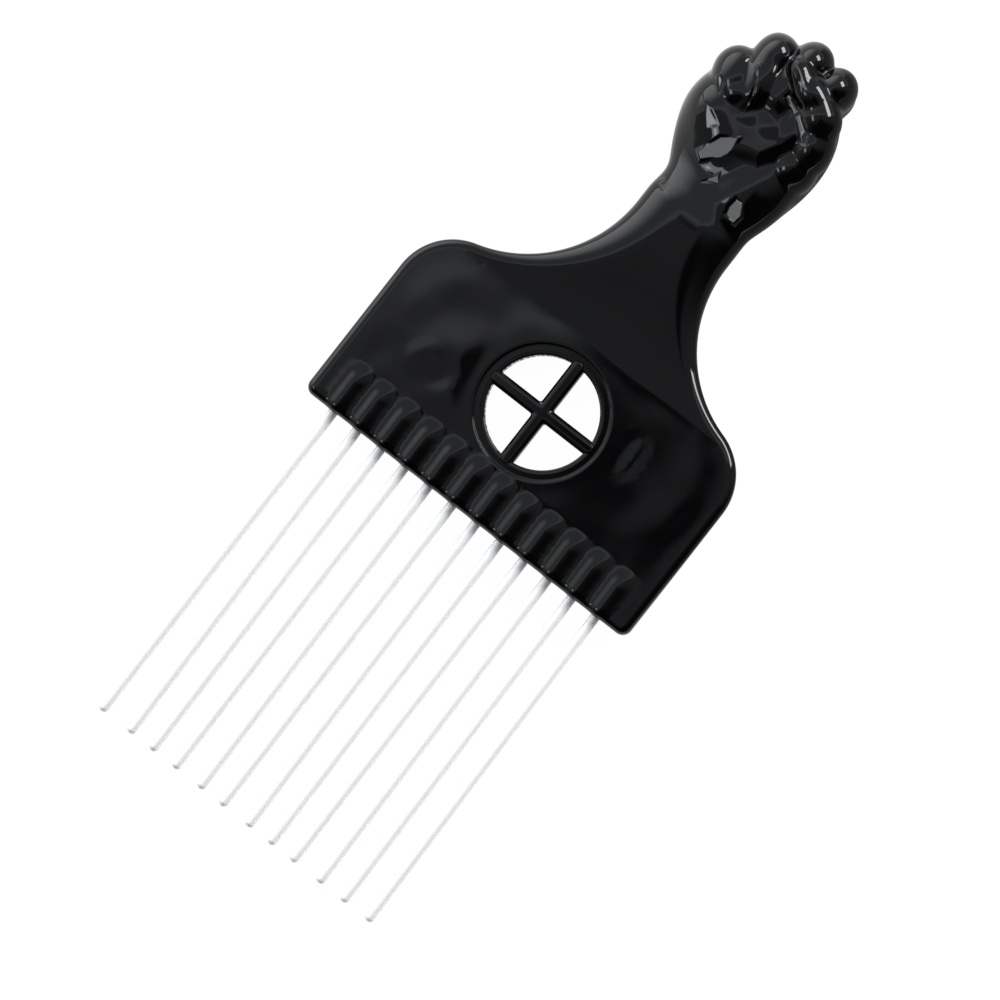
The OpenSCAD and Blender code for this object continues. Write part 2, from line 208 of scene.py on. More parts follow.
BASE_STEPS, RIM_STEPS, ACROSS_STEPS = 130, 12, 120
CORNER_STEPS, SIDE_STEPS, SHOULDER_STEPS, SWEEP_STEPS, NECK_STEPS = 12, 40, 40, 76, 8
LEVELS, CROWN_ROWS, WRIST_BLEND = 150, 200, 0.12
OUTLINE = np.vstack([
    [[0, 0, 0, 1]],
    line((0, 0), (HALF_W - CORNER_R, 0), (0, 1), BASE_STEPS),
    bow(np.array([HALF_W - CORNER_R, CORNER_R]), CORNER_R, -math.pi / 2, 0, CORNER_STEPS, -1),
    line((HALF_W, CORNER_R), (HALF_W, SHOULDER_Y), (-1, 0), SIDE_STEPS),
    bow(SHOULDER_C, SHOULDER_R, 0, TOUCH, SHOULDER_STEPS, -1),
    bow(SWEEP_C, SWEEP_R, TOUCH + math.pi, math.pi, SWEEP_STEPS, 1),
    line((NECK_HALF, SWEEP_C[1]), (NECK_HALF, WRIST_Y), (-1, 0), NECK_STEPS)])
LAST = len(OUTLINE) - 1


def tine_place(i):
    """Foot and lean of tine i, counted from the left."""
    return (i - (TINES + 1) / 2) * PITCH, math.atan(DRIFT[i - 1] * PITCH / REACH)


def rib_gap(x, y):
    """Distance in the plane to the nearest rib's axis."""
    best = np.full(np.shape(x), FAR)
    for i in range(1, TINES + 1):
        x0, lean = tine_place(i)
        best = np.minimum(best, np.abs((x - x0) * math.cos(lean) + y * math.sin(lean)))
    return best


def rib_height(gap, y):
    """How far a rib stands proud, falling away from its axis and towards its upper end."""
    return RIB_RISE * smooth(1 - gap / RIB_HALF) * smooth((RIB_LEN - y) / RIB_TAPER)


# Faint hollows in the flats: length of the waves, how much finer and fainter the small ones are, and
# depth on the left and on the right, which change over into each other across the middle
WAVE, FINER, FINER_SHARE = 15, 2.3, 0.35
DEEP_LEFT, DEEP_RIGHT, CHANGE_OVER = 0.11, 0.05, 24
SIDE_SHIFT, NOISE_PLANE = 7, 3.7
# Two dents in the flats: middle, half sizes and the slope of the dent, and how their edge fades
DENTS = [(16.6, 25.0, 2.1, 4.8, 0.020), (-20.5, 17.0, 4.2, 3.6, -0.015)]
DENT_REACH, DENT_FADE = 1.15, 0.3
# The hollows start this far from the rim and from the ring, and fade in over this length
RIM_CLEAR, RING_CLEAR, SINK_FADE = 1.3, 1.2, 4
GAP_MAX = 6


def sink(x, y, side):
    """Faint hollows that the cooling left in the flats, in millimetres."""
    waves = np.zeros(len(x))
    for n in range(len(x)):
        p = Vector((x[n] / WAVE + SIDE_SHIFT * side, y[n] / WAVE, NOISE_PLANE))
        waves[n] = noise.noise(p) + FINER_SHARE * noise.noise(p * FINER)
    right = smooth((x + CHANGE_OVER / 2) / CHANGE_OVER)
    out = waves * mix(DEEP_LEFT, DEEP_RIGHT, right)
    for cx, cy, rx, ry, slope in DENTS:
        near = np.hypot((x - cx) / rx, (y - cy) / ry)
        out = out + slope * (x - cx) * smooth((DENT_REACH - near) / DENT_FADE)
    return out


def sink_share(x, y, inset):
    """The hollows fade towards the rim, the ring and the neck."""
    r = np.hypot(x, y - RING_Y)
    off_ring = smooth((r - RECESS_R - RING_CLEAR) / SINK_FADE)
    return smooth((inset - RIM_CLEAR) / SINK_FADE) * off_ring * (1 - swell(y))


# points of one face
def rim_points():
    """Rounded rim, u along the outline from the left wrist to the right, k from the edge to the flat."""
    u = np.abs(np.arange(-LAST, LAST + 1))
    sign = np.where(np.arange(-LAST, LAST + 1) < 0, -1.0, 1.0)
    o = OUTLINE[u]
    pts = np.zeros((2 * LAST + 1, RIM_STEPS + 1, 3))
    for k in range(RIM_STEPS + 1):
        a = math.pi / 2 * k / RIM_STEPS
        rw = round_w(o[:, 1])
        inset = rw * (1 - math.cos(a))
        x, y = o[:, 0] + o[:, 2] * inset, o[:, 1] + o[:, 3] * inset
        z = half_thick(y) - round_h(y) * (1 - math.sin(a))
        # the ribs stand proud of the lower rim, and sink into it towards the edge
        base = u <= BASE_STEPS
        proud = EDGE_R + rib_height(rib_gap(x * sign, EDGE_R), EDGE_R) * math.sin(a)
        y = np.where(base, EDGE_R - proud * math.cos(a), y)
        z = np.where(base, HALF_T - EDGE_R + proud * math.sin(a), z)
        pts[:, k] = np.stack([x * sign, y, z], -1)
    return pts


RIM = rim_points()
# the flat is meshed freely up to the split, which lies this far above the recess, and in rows above it
SPLIT_OVER = 2.2
SPLIT = next(i for i in range(LAST)
             if OUTLINE[i][1] + OUTLINE[i][3] * EDGE_R > RING_Y + RECESS_R + SPLIT_OVER)
ACROSS = ACROSS_STEPS - 1
# radii of the recess's upper edge, its foot and the opening's edge, the width of its wall, and how far
# inside the wall's top its foot ends
LIP_R, FOOT_R, OPENING_EDGE_R, WALL_W, FOOT_END = 0.16, 0.12, 0.32, 0.05, 0.17


def recess_z(r):
    """Height of the front face round the ring, as a drop below the flat."""
    drop = np.zeros(np.shape(r))
    t = np.clip((RECESS_R + LIP_R - r) / LIP_R, 0, 1)
    drop = np.where(r < RECESS_R + LIP_R, LIP_R * (1 - np.sqrt(np.maximum(1 - t * t, 0))), drop)
    wall = np.clip((RECESS_R - r) / WALL_W, 0, 1)
    drop = np.where(r < RECESS_R, LIP_R + (RECESS - LIP_R - FOOT_R) * wall, drop)
    foot = RECESS - FOOT_R
    t = np.clip((r - (RECESS_R - WALL_W - FOOT_R)) / FOOT_R, 0, 1)
    drop = np.where(r < RECESS_R - WALL_W, foot + FOOT_R * np.sqrt(np.maximum(1 - t * t, 0)), drop)
    drop = np.where(r < RECESS_R - WALL_W - FOOT_R, RECESS, drop)
    t = np.clip((OPENING_R + OPENING_EDGE_R - r) / OPENING_EDGE_R, 0, 1)
    edge = RECESS + OPENING_EDGE_R * (1 - np.sqrt(np.maximum(1 - t * t, 0)))
    return np.where(r < OPENING_R + OPENING_EDGE_R, edge, drop)


def quarter(steps):
    """Angles of a quarter turn."""
    return np.linspace(0, math.pi / 2, steps)


RING_RADII = [OPENING_R + OPENING_EDGE_R * (1 - math.sin(a)) for a in quarter(6)][::-1]
RING_RADII += [OPENING_R + 0.8, OPENING_R + 1.3, RECESS_R - 0.4]
RING_RADII += [RECESS_R - FOOT_END + FOOT_R * math.sin(a) for a in quarter(4)]
RING_RADII += [RECESS_R]
RING_RADII += [RECESS_R + LIP_R * (1 - math.cos(a)) for a in quarter(6)][1:]
RING_RADII += [RECESS_R + 0.5, RECESS_R + 1.1]
RING_SEGMENTS = 216

# points over the ribs: rows, how far they run past a rib, and how far they lie from its axis
RIB_ROWS, RIB_OVER = 46, 0.5
RIB_OFFSETS = [0, 0.25, 0.5, 0.72, 0.92, 1.08, 1.2, 1.3, 1.4, 1.52, 1.68, 1.9]
# rows of points inside the rim
RIM_ROWS = (0.25, 0.6, 1.1)
# the coarse fill: its step, the rise of a row as a share of the step, and its most rows and columns
FILL_STEP, ROW_RISE, FILL_ROWS, FILL_COLUMNS = 1.15, 0.87, 40, 34
# what the points keep clear: the rim, the ring for rib points and for the fill, a rib's side, its upper
# end, and the split
RIM_ROOM, RING_ROOM, FILL_RING_ROOM, RIB_ROOM, RIB_END_ROOM, TOP_ROOM = 1.7, 0.25, 0.5, 2.3, 1.0, 0.5
# a triangle whose middle lies inside this share of the opening's radius belongs to the opening
OPENING_SHARE = 0.999
MERGE = 1e-7


def boundary_points():
    """The flat's edge below the split and the row across the neck that closes it, and that row's y."""
    inner = RIM[:, RIM_STEPS, :2]
    hi = LAST + SPLIT
    edge = [tuple(p) for p in inner[LAST - SPLIT:hi + 1]]
    row = inner[hi]
    across = [(row[0] * (1 - 2 * j / ACROSS_STEPS), row[1]) for j in range(1, ACROSS_STEPS)]
    return edge + across, row[1]


def ring_points(first):
    """Circles round the opening, and the edges that hold them, numbered from first."""
    pts, edges = [], []
    for r in RING_RADII:
        start = first + len(pts)
        for s in range(RING_SEGMENTS):
            a = 2 * math.pi * s / RING_SEGMENTS
            pts.append((r * math.cos(a), RING_Y + r * math.sin(a)))
        edges += [(start + s, start + (s + 1) % RING_SEGMENTS) for s in range(RING_SEGMENTS)]
    return pts, edges


def rib_points():
    """Fine columns over the ribs."""
    pts = []
    for i in range(1, TINES + 1):
        x0, lean = tine_place(i)
        for y in np.linspace(EDGE_R, RIB_LEN + RIB_OVER, RIB_ROWS)[1:]:
            for offset in RIB_OFFSETS:
                for s in ((1, -1) if offset else (1,)):
                    x = x0 - math.tan(lean) * y + s * offset
                    if math.hypot(x, y - RING_Y) > RING_RADII[-1] + RING_ROOM:
                        pts.append((x, y))
    return pts


def rim_row_points():
    """Rows beside the rim, which keep the shading there even."""
    pts = []
    for x, y, nx, ny in OUTLINE[BASE_STEPS + 1:SPLIT]:
        for row in RIM_ROWS:
            inset = EDGE_R + row
            pts += [(x + nx * inset, y + ny * inset), (-x - nx * inset, y + ny * inset)]
    return pts


def has_room(x, y):
    """Whether a point of the fill is clear of the rim, the ring and the ribs."""
    if abs(x) > HALF_W - EDGE_R - RIM_ROOM:
        return False
    if math.hypot(x, y - RING_Y) < RING_RADII[-1] + FILL_RING_ROOM:
        return False
    if y > SHOULDER_Y and abs(x) > SHOULDER_C[0]:
        if math.hypot(abs(x) - SHOULDER_C[0], y - SHOULDER_Y) > SHOULDER_R - EDGE_R - RIM_ROOM:
            return False
    beside = min(abs(x - tine_place(t)[0]) for t in range(1, TINES + 1))
    return y >= RIB_LEN + RIB_END_ROOM or beside >= RIB_ROOM


def fill_points(top):
    """A coarse triangular fill."""
    pts = []
    for j in range(1, FILL_ROWS):
        y = EDGE_R + j * FILL_STEP * ROW_RISE
        if y > top - TOP_ROOM:
            break
        for i in range(-FILL_COLUMNS, FILL_COLUMNS + 1):
            x = (i + 0.5 * (j % 2)) * FILL_STEP
            if has_room(x, y):
                pts.append((x, y))
    return pts


def flat_region():
    """The flat face below the split with the opening cut out: its points, how many of them are the
    boundary's, and its triangles. The opening's circle comes straight after the boundary."""
    pts, top = boundary_points()
    n_edge = len(pts)
    ring, ring_edges = ring_points(n_edge)
    edges = [(i, (i + 1) % n_edge) for i in range(n_edge)] + ring_edges
    pts += ring + rib_points() + rim_row_points() + fill_points(top)
    verts, _, faces, orig, _, _ = delaunay_2d_cdt([Vector(p) for p in pts], edges, [], 0, MERGE)
    if len(verts) != len(pts):
        raise ValueError(f"the flat has {len(verts)} points for {len(pts)} given")
    place = [o[0] for o in orig]
    xy = np.zeros((len(pts), 2))
    for v, at in zip(verts, place):
        xy[at] = (v.x, v.y)
    tris = []
    for f in faces:
        t = [place[v] for v in f]
        c = xy[t].mean(0)
        if math.hypot(c[0], c[1] - RING_Y) < OPENING_R * OPENING_SHARE:
            continue
        if not inside(c, xy[:n_edge]):
            continue
        a, b, q = xy[t[0]], xy[t[1]], xy[t[2]]
        if (b[0] - a[0]) * (q[1] - a[1]) - (b[1] - a[1]) * (q[0] - a[0]) < 0:
            t = t[::-1]
        tris.append(t)
    return xy, n_edge, tris


def inside(p, poly):
    """Whether a point lies inside a polygon."""
    x, y = p
    a, b = poly, np.roll(poly, -1, 0)
    cross = (a[:, 1] > y) != (b[:, 1] > y)
    xs = a[cross, 0] + (y - a[cross, 1]) * (b[cross, 0] - a[cross, 0]) / (b[cross, 1] - a[cross, 1])
    return (xs > x).sum() % 2 == 1


def add_points(verts, points):
    """Adds points and returns the number of the first."""
    start = len(verts)
    verts.extend(map(tuple, points))
    return start


def facing(side, corners):
    """A face's corners, turned over for the back."""
    return corners if side > 0 else corners[::-1]


def rim_at(rim0, u, k):
    """The number of a rim point, u along the outline and k from the edge to the flat."""
    return rim0 + u * (RIM_STEPS + 1) + k


def rim_gap(xy):
    """How far the flat's points lie from its edge, up to a limit."""
    gap = np.minimum(np.minimum(HALF_W - EDGE_R - np.abs(xy[:, 0]), xy[:, 1] - EDGE_R), GAP_MAX)
    over = np.hypot(np.abs(xy[:, 0]) - SHOULDER_C[0], xy[:, 1] - SHOULDER_Y)
    corner = (np.abs(xy[:, 0]) > SHOULDER_C[0]) & (xy[:, 1] > SHOULDER_Y)
    return np.where(corner, np.minimum(gap, SHOULDER_R - EDGE_R - over), gap)


def add_flat(verts, faces, flat, rim0, side):
    """The flat below the split. Returns the number of each of its points."""
    xy, _, tris = flat
    x, y = xy[:, 0], xy[:, 1]
    z = half_thick(y) + rib_height(rib_gap(x, y), y) - recess_z(np.hypot(x, y - RING_Y))
    z = z + sink(x, y, side) * sink_share(x, y, rim_gap(xy))
    shared = [rim_at(rim0, u, RIM_STEPS) for u in range(LAST - SPLIT, LAST + SPLIT + 1)]
    own = slice(len(shared), None)
    start = add_points(verts, np.stack([x[own], y[own], z[own] * side], -1))
    at = shared + list(range(start, len(verts)))
    faces.extend(facing(side, tuple(at[v] for v in t)) for t in tris)
    return at


def add_neck(verts, faces, row, rim0, side):
    """Rows of faces from the split up to the wrist. Returns the points of the last row."""
    for u in range(SPLIT + 1, LAST + 1):
        edge = RIM[LAST + u, RIM_STEPS]
        x = edge[0] * (1 - 2 * np.arange(1, ACROSS_STEPS) / ACROSS_STEPS)
        y = np.full(ACROSS, edge[1])
        gap = np.minimum(abs(edge[0]) - np.abs(x), GAP_MAX)
        z = half_thick(y) + sink(x, y, side) * sink_share(x, y, gap)
        start = add_points(verts, np.stack([x, y, z * side], -1))
        ends = rim_at(rim0, LAST + u, RIM_STEPS), rim_at(rim0, LAST - u, RIM_STEPS)
        after = [ends[0]] + list(range(start, len(verts))) + [ends[1]]
        for j in range(ACROSS_STEPS):
            faces.append(facing(side, (row[j], after[j], after[j + 1], row[j + 1])))
        row = after
    return row


def add_side(verts, faces, flat, side):
    """One face of the handle. Returns its first rim point, the wrist's arc and the opening's circle."""
    n_edge = flat[1]
    rim = RIM.copy()
    rim[..., 2] *= side
    rim0 = add_points(verts, rim.reshape(-1, 3))
    at = add_flat(verts, faces, flat, rim0, side)
    row = add_neck(verts, faces, [at[2 * SPLIT]] + at[n_edge - ACROSS:n_edge] + [at[0]], rim0, side)
    for u in range(2 * LAST):
        for k in range(RIM_STEPS):
            a, b = rim_at(rim0, u, k), rim_at(rim0, u + 1, k)
            faces.append(facing(side, (a, b, b + 1, a + 1)))
    right = [rim_at(rim0, 2 * LAST, k) for k in range(RIM_STEPS + 1)]
    left = [rim_at(rim0, 0, k) for k in range(RIM_STEPS, -1, -1)]
    return rim0, right + row[1:-1] + left, at[n_edge:n_edge + RING_SEGMENTS]


def build_handle():
    """The moulding without its cross: both faces, the edge, the opening's wall and the fist."""
    flat = flat_region()
    verts, faces = [], []
    front_rim, front_wrist, front_ring = add_side(verts, faces, flat, 1)
    back_rim, back_wrist, back_ring = add_side(verts, faces, flat, -1)
    for u in range(2 * LAST):
        front = rim_at(front_rim, u, 0), rim_at(front_rim, u + 1, 0)
        back = rim_at(back_rim, u, 0), rim_at(back_rim, u + 1, 0)
        faces.append((back[0], back[1], front[1], front[0]))
    for s in range(RING_SEGMENTS):
        n = (s + 1) % RING_SEGMENTS
        faces.append((front_ring[s], front_ring[n], back_ring[n], back_ring[s]))
    first = len(verts)
    add_fist(verts, faces, front_wrist + back_wrist[::-1])
    press_flats(verts, first)
    return verts, faces


def add_fist(verts, faces, loop):
    """Level loops from the wrist up to the fist's middle, then the crown."""
    wrist = np.array([verts[v] for v in loop])
    wrist_angle = np.degrees(np.arctan2(wrist[:, 2], wrist[:, 0])) % 360
    count = len(loop)
    even = 360 * (np.arange(count) + 0.5) / count
    for y in np.linspace(WRIST_Y, CROWN_Y, LEVELS)[1:]:
        w = float(smooth((y - WRIST_Y) / (WRIST_BLEND * FIST_H)))
        a = np.radians(mix(wrist_angle, even, w))
        d = np.stack([np.cos(a), np.zeros(count), np.sin(a)], -1)
        o = np.tile([0.0, y, 0.0], (count, 1))
        reach = fist_reach(o, d)
        if w < 1:
            reach = mix(neck_reach(a, y), reach, w)
        start = add_points(verts, o + reach[:, None] * d)
        after = list(range(start, start + count))
        for j in range(count):
            n = (j + 1) % count
            faces.append((loop[j], after[j], after[n], loop[n]))
        loop = after
    add_crown(verts, faces, loop)


def add_crown(verts, faces, loop):
    """Half circles from back to front, turning from the right over the top to the left."""
    count = len(loop)
    half = count // 2
    back = half + half // 2
    rise = math.pi * np.arange(1, half) / half - math.pi / 2
    o = np.tile([0.0, CROWN_Y, 0.0], (half - 1, 1))
    row = [loop[(back + m) % count] for m in range(half + 1)]
    for k in range(1, CROWN_ROWS + 1):
        if k == CROWN_ROWS:
            after = [loop[back - m] for m in range(half + 1)]
        else:
            turn = math.pi * k / CROWN_ROWS
            d = np.stack([np.cos(rise) * math.cos(turn), np.cos(rise) * math.sin(turn), np.sin(rise)], -1)
            start = add_points(verts, o + fist_reach(o, d)[:, None] * d)
            after = [row[0]] + list(range(start, start + half - 1)) + [row[-1]]
        for m in range(half):
            corners = (row[m], after[m], after[m + 1], row[m + 1])
            faces.append(tuple(dict.fromkeys(corners)))
        row = after


def neck_reach(a, y):
    """Distance from the axis to the neck's rounded section at angles a."""
    c, s = np.abs(np.cos(a)), np.abs(np.sin(a))
    rw, rh, ht = float(round_w(y)), float(round_h(y)), float(half_thick(y))
    cx, cz = NECK_HALF - rw, ht - rh
    px, pz, vx, vz = -cx / rw, -cz / rh, c / rw, s / rh
    k = vx * vx + vz * vz
    b = px * vx + pz * vz
    r = (-b + np.sqrt(np.maximum(b * b - k * (px * px + pz * pz - 1), 0))) / k
    r = np.where(r * s < cz, NECK_HALF / np.maximum(c, TINY), r)
    return np.where(r * c < cx, ht / np.maximum(s, TINY), r)


# the cross: where its arms end, how much shorter they get towards the top, the fillet between them,
# and the steps of an arm's end, a fillet and an arm's side
CROSS_TOP, CROSS_END = HALF_T - BAR_DROP, OPENING_R + 1.15
CROSS_TAPER, CROSS_FILLET = 0.6, 0.45
END_STEPS, FILLET_STEPS, ARM_STEPS = 21, 7, 12
# half width and height of an arm's section from mid thickness to the top, with soft edges on the bevel
BEVEL_FOOT = CROSS_TOP - BAR_BEVEL
CROSS_PROFILE = [
    (BAR_HALF, 0.0),
    (BAR_HALF, BEVEL_FOOT - 0.12),
    (BAR_HALF - 0.03, BEVEL_FOOT - 0.03),
    (BAR_HALF - 0.11, BEVEL_FOOT + 0.07),
    (BAR_FLAT + 0.12, CROSS_TOP - 0.09),
    (BAR_FLAT + 0.04, CROSS_TOP - 0.025),
    (BAR_FLAT - 0.08, CROSS_TOP),
    (BAR_FLAT - 0.4, CROSS_TOP)]


def cross_points(half, end, fillet):
    """One loop of the cross at a half width: arms with round ends, and filleted inner corners."""
    loop = []
    for q in range(4):
        t = q * math.pi / 2
        rot = np.array([[math.cos(t), -math.sin(t)], [math.sin(t), math.cos(t)]])
        c = end - half
        # the inner corner below the arm, the arm's lower side, its end and its upper side
        part = [(half + fillet - fillet * math.sin(b), -half - fillet + fillet * math.cos(b))
                for b in np.linspace(math.pi / 2, 0, FILLET_STEPS)]
        for x in np.linspace(half + fillet, c, ARM_STEPS)[1:-1]:
            part.append((x, -half))
        for b in np.linspace(-math.pi / 2, math.pi / 2, END_STEPS):
            part.append((c + half * math.cos(b), half * math.sin(b)))
        for x in np.linspace(c, half + fillet, ARM_STEPS)[1:-1]:
            part.append((x, half))
        loop += [tuple(rot @ np.array(p)) for p in part]
    return loop


def build_cross():
    """The cross in the ring: flat on both faces, bevelled along the arms, with soft edges."""
    verts, faces = [], []
    middle = None
    for side in (1, -1):
        starts = []
        for n, (half, z) in enumerate(CROSS_PROFILE):
            if n == 0 and side < 0:
                starts.append(middle)
                continue
            loop = cross_points(half, CROSS_END - (BAR_HALF - half) * CROSS_TAPER, CROSS_FILLET)
            starts.append(len(verts))
            verts += [(x, RING_Y + y, z * side) for x, y in loop]
        middle = starts[0]
        size = len(loop)
        for a, b in zip(starts, starts[1:]):
            for j in range(size):
                k = (j + 1) % size
                faces.append(facing(side, (a + j, a + k, b + k, b + j)))
        faces.append(facing(side, tuple(starts[-1] + j for j in range(size))))
    return verts, faces


# Flats pressed into the front of the fist: slopes along x and y, how fully they are pressed, the
# softness of their edge, and their corners, anticlockwise. The corners follow the photograph's light
# patches: read by eye in pixels, turned into millimetres by a scratch script, some then moved by hand.
FLATS = [
    (0.13, 0.00, 0.8, 1.6, [(-1.5, 79.0), (3.0, 79.5), (6.0, 84.0), (6.0, 87.5), (-2.0, 88.5), (-6.5, 84.5)]),
    (0.213, 0.318, 1, 0.25, [(-7.7, 78.4), (-6.1, 80.4), (-11.0, 82.7)]),
    (0.180, 0.290, 1, 0.25, [(-5.1, 73.5), (-1.6, 77.4), (-1.6, 81.1), (-4.8, 79.1), (-6.7, 74.6)]),
    (0.240, 0.270, 1, 0.25, [(4.1, 68.8), (6.6, 68.0), (7.0, 70.3), (5.9, 72.1), (4.0, 72.4), (3.7, 70.3)]),
    (0.240, 0.260, 1, 0.20, [(0.1, 72.4), (-1.0, 74.0), (-2.6, 70.9)]),
    (0.280, 0.250, 1, 0.20, [(-7.2, 65.7), (-7.2, 67.0), (-8.2, 67.6), (-8.6, 66.4)]),
    (0.213, 0.318, 1, 0.20, [(-9.5, 84.7), (-10.0, 86.9), (-11.5, 87.7), (-11.7, 86.7)]),
    (0.200, 0.300, 1, 0.25, [(3.4, 89.4), (3.7, 90.6), (0.2, 92.1), (0.0, 91.1)]),
    (0.200, 0.300, 1, 0.25, [(7.2, 86.2), (8.0, 86.6), (6.1, 89.1), (3.7, 90.6), (3.4, 89.4)]),
    (0.213, 0.318, 1, 0.25, [(2.1, 93.5), (3.0, 94.2), (1.5, 95.5), (-1.5, 97.1), (-1.8, 96.1)]),
    (0.200, 0.300, 0.8, 0.20, [(-5.4, 89.6), (-5.4, 90.9), (-6.8, 93.0), (-7.1, 91.9)]),
    (0.200, 0.300, 0.8, 0.20, [(-3.9, 85.1), (-3.6, 86.2), (-5.4, 90.9), (-5.4, 89.6)]),
    (-0.298, -0.438, 1, 0.20, [(-8.7, 91.8), (-8.6, 92.7), (-9.5, 92.9), (-9.7, 92.0)])]


# the flats only move points that lie higher than this
FRONT_FROM = 1


def press_flats(verts, first):
    """Presses the flats into the front of the fist."""
    p = np.array(verts[first:])
    for sx, sy, share, soft, corners in FLATS:
        c = np.array(corners)
        depth = np.full(len(p), FAR)
        for a, b in zip(c, np.roll(c, -1, 0)):
            side = b - a
            cross = side[0] * (p[:, 1] - a[1]) - side[1] * (p[:, 0] - a[0])
            depth = np.minimum(depth, cross / np.hypot(*side))
        w = share * smooth(depth / (2 * soft) + 0.5) * (p[:, 2] > FRONT_FROM)
        plane = sx * p[:, 0] + sy * p[:, 1]
        plane = plane + (w * (p[:, 2] - plane)).sum() / w.sum()
        p[:, 2] += w * (plane - p[:, 2])
    verts[first:] = map(tuple, p)


def add_mesh(name, verts, faces, mat):
    """A smooth object of one material from points in millimetres."""
    mesh = bpy.data.meshes.new(name)
    mesh.from_pydata([(x * MM, y * MM, z * MM) for x, y, z in verts], [], faces)
    mesh.validate()
    mesh.polygons.foreach_set("use_smooth", [True] * len(mesh.polygons))
    mesh.update()
    obj = bpy.data.objects.new(name, mesh)
    bpy.context.scene.collection.objects.link(obj)
    obj.data.materials.append(mat)
    return obj


# materials
def new_material(name):
    """A material with its nodes, its links and its shader."""
    mat = bpy.data.materials.new(name)
    mat.use_nodes = True
    nodes, links = mat.node_tree.nodes, mat.node_tree.links
    return mat, nodes, links, nodes["Principled BSDF"]


def calc(tree, operation, *values):
    """A math node. A value is a number or another node's output."""
    node = tree.nodes.new("ShaderNodeMath")
    node.operation = operation
    for slot, value in zip(node.inputs, values):
        if isinstance(value, (int, float)):
            slot.default_value = value
        else:
            tree.links.new(value, slot)
    return node.outputs["Value"]


def step(tree, value, low, high, to_low=0.0, to_high=1.0):
    """A smooth step of the value from low to high."""
    node = tree.nodes.new("ShaderNodeMapRange")
    node.interpolation_type = "SMOOTHSTEP"
    node.inputs["From Min"].default_value = low
    node.inputs["From Max"].default_value = high
    node.inputs["To Min"].default_value = to_low
    node.inputs["To Max"].default_value = to_high
    tree.links.new(value, node.inputs["Value"])
    return node.outputs["Result"]


def axes_of(tree, vector):
    node = tree.nodes.new("ShaderNodeSeparateXYZ")
    tree.links.new(vector, node.inputs["Vector"])
    return node.outputs


def texture(tree, vector, scale, detail):
    """Noise over a vector."""
    node = tree.nodes.new("ShaderNodeTexNoise")
    node.inputs["Scale"].default_value = scale
    node.inputs["Detail"].default_value = detail
    tree.links.new(vector, node.inputs["Vector"])
    return node.outputs["Fac"]


def between(tree, value, low, high):
    """A number between two, by a value from 0 to 1."""
    node = tree.nodes.new("ShaderNodeMapRange")
    node.inputs["To Min"].default_value = low
    node.inputs["To Max"].default_value = high
    tree.links.new(value, node.inputs["Value"])
    return node.outputs["Result"]


# sockets of a Map Range node that works on vectors
VECTOR_IN, TO_MIN_VECTOR, TO_MAX_VECTOR = 6, 9, 10


def colour_between(tree, value, low, high):
    """A colour between two, by a value from 0 to 1."""
    node = tree.nodes.new("ShaderNodeMapRange")
    node.data_type = "FLOAT_VECTOR"
    node.inputs[TO_MIN_VECTOR].default_value = low
    node.inputs[TO_MAX_VECTOR].default_value = high
    tree.links.new(value, node.inputs[VECTOR_IN])
    return node.outputs["Vector"]


def bump(tree, height, distance, strength, normal=None):
    """Relief from a height, over another relief if one is given."""
    node = tree.nodes.new("ShaderNodeBump")
    node.inputs["Distance"].default_value = distance
    node.inputs["Strength"].default_value = strength
    tree.links.new(height, node.inputs["Height"])
    if normal is not None:
        tree.links.new(normal, node.inputs["Normal"])
    return node.outputs["Normal"]


# plastic: colours, roughness, scale and detail of each noise, and distance and strength of each relief
PLASTIC_IOR, PLASTIC_SPECULAR = 1.5, 0.35
PLASTIC_DARK, PLASTIC_LIGHT = (0.0008, 0.0008, 0.0010), (0.0016, 0.0016, 0.0019)
PLASTIC_ROUGH = (0.03, 0.06)
TONE_NOISE, ROUGH_NOISE, FLOW_NOISE = (60.0, 3.0), (220.0, 4.0), (130.0, 1.0)
FLOW_RELIEF, SEAM_RELIEF = (0.00012, 0.06), (0.00008, 0.8)
SEAM_HALF = 0.14 * MM


def plastic():
    """Black injection moulding: high gloss, faint flow marks, and the mould's parting line round the edge."""
    mat, nodes, links, bsdf = new_material("gloss_black_plastic")
    tree = mat.node_tree
    bsdf.inputs["IOR"].default_value = PLASTIC_IOR
    bsdf.inputs["Specular IOR Level"].default_value = PLASTIC_SPECULAR
    bsdf.inputs["Coat Weight"].default_value = 0.0
    place = nodes.new("ShaderNodeTexCoord").outputs["Object"]
    tone = colour_between(tree, texture(tree, place, *TONE_NOISE), PLASTIC_DARK, PLASTIC_LIGHT)
    rough = between(tree, texture(tree, place, *ROUGH_NOISE), *PLASTIC_ROUGH)
    # the parting line is a fine groove at mid thickness
    seam = step(tree, calc(tree, "ABSOLUTE", axes_of(tree, place)["Z"]), 0.0, SEAM_HALF)
    flow = bump(tree, texture(tree, place, *FLOW_NOISE), *FLOW_RELIEF)
    links.new(tone, bsdf.inputs["Base Color"])
    links.new(rough, bsdf.inputs["Roughness"])
    links.new(bump(tree, seam, *SEAM_RELIEF, normal=flow), bsdf.inputs["Normal"])
    return mat


# wire: how metallic it is, how its drawing marks stretch, their detail, colours, roughness and relief
WIRE_METALLIC, MARK_STRETCH, MARK_DETAIL = 0.12, (1500.0, 40.0, 1500.0), 2.0
WIRE_DARK, WIRE_LIGHT = (0.955, 0.955, 0.96), (0.98, 0.98, 0.98)
WIRE_ROUGH, MARK_RELIEF = (0.30, 0.40), (0.00001, 0.05)


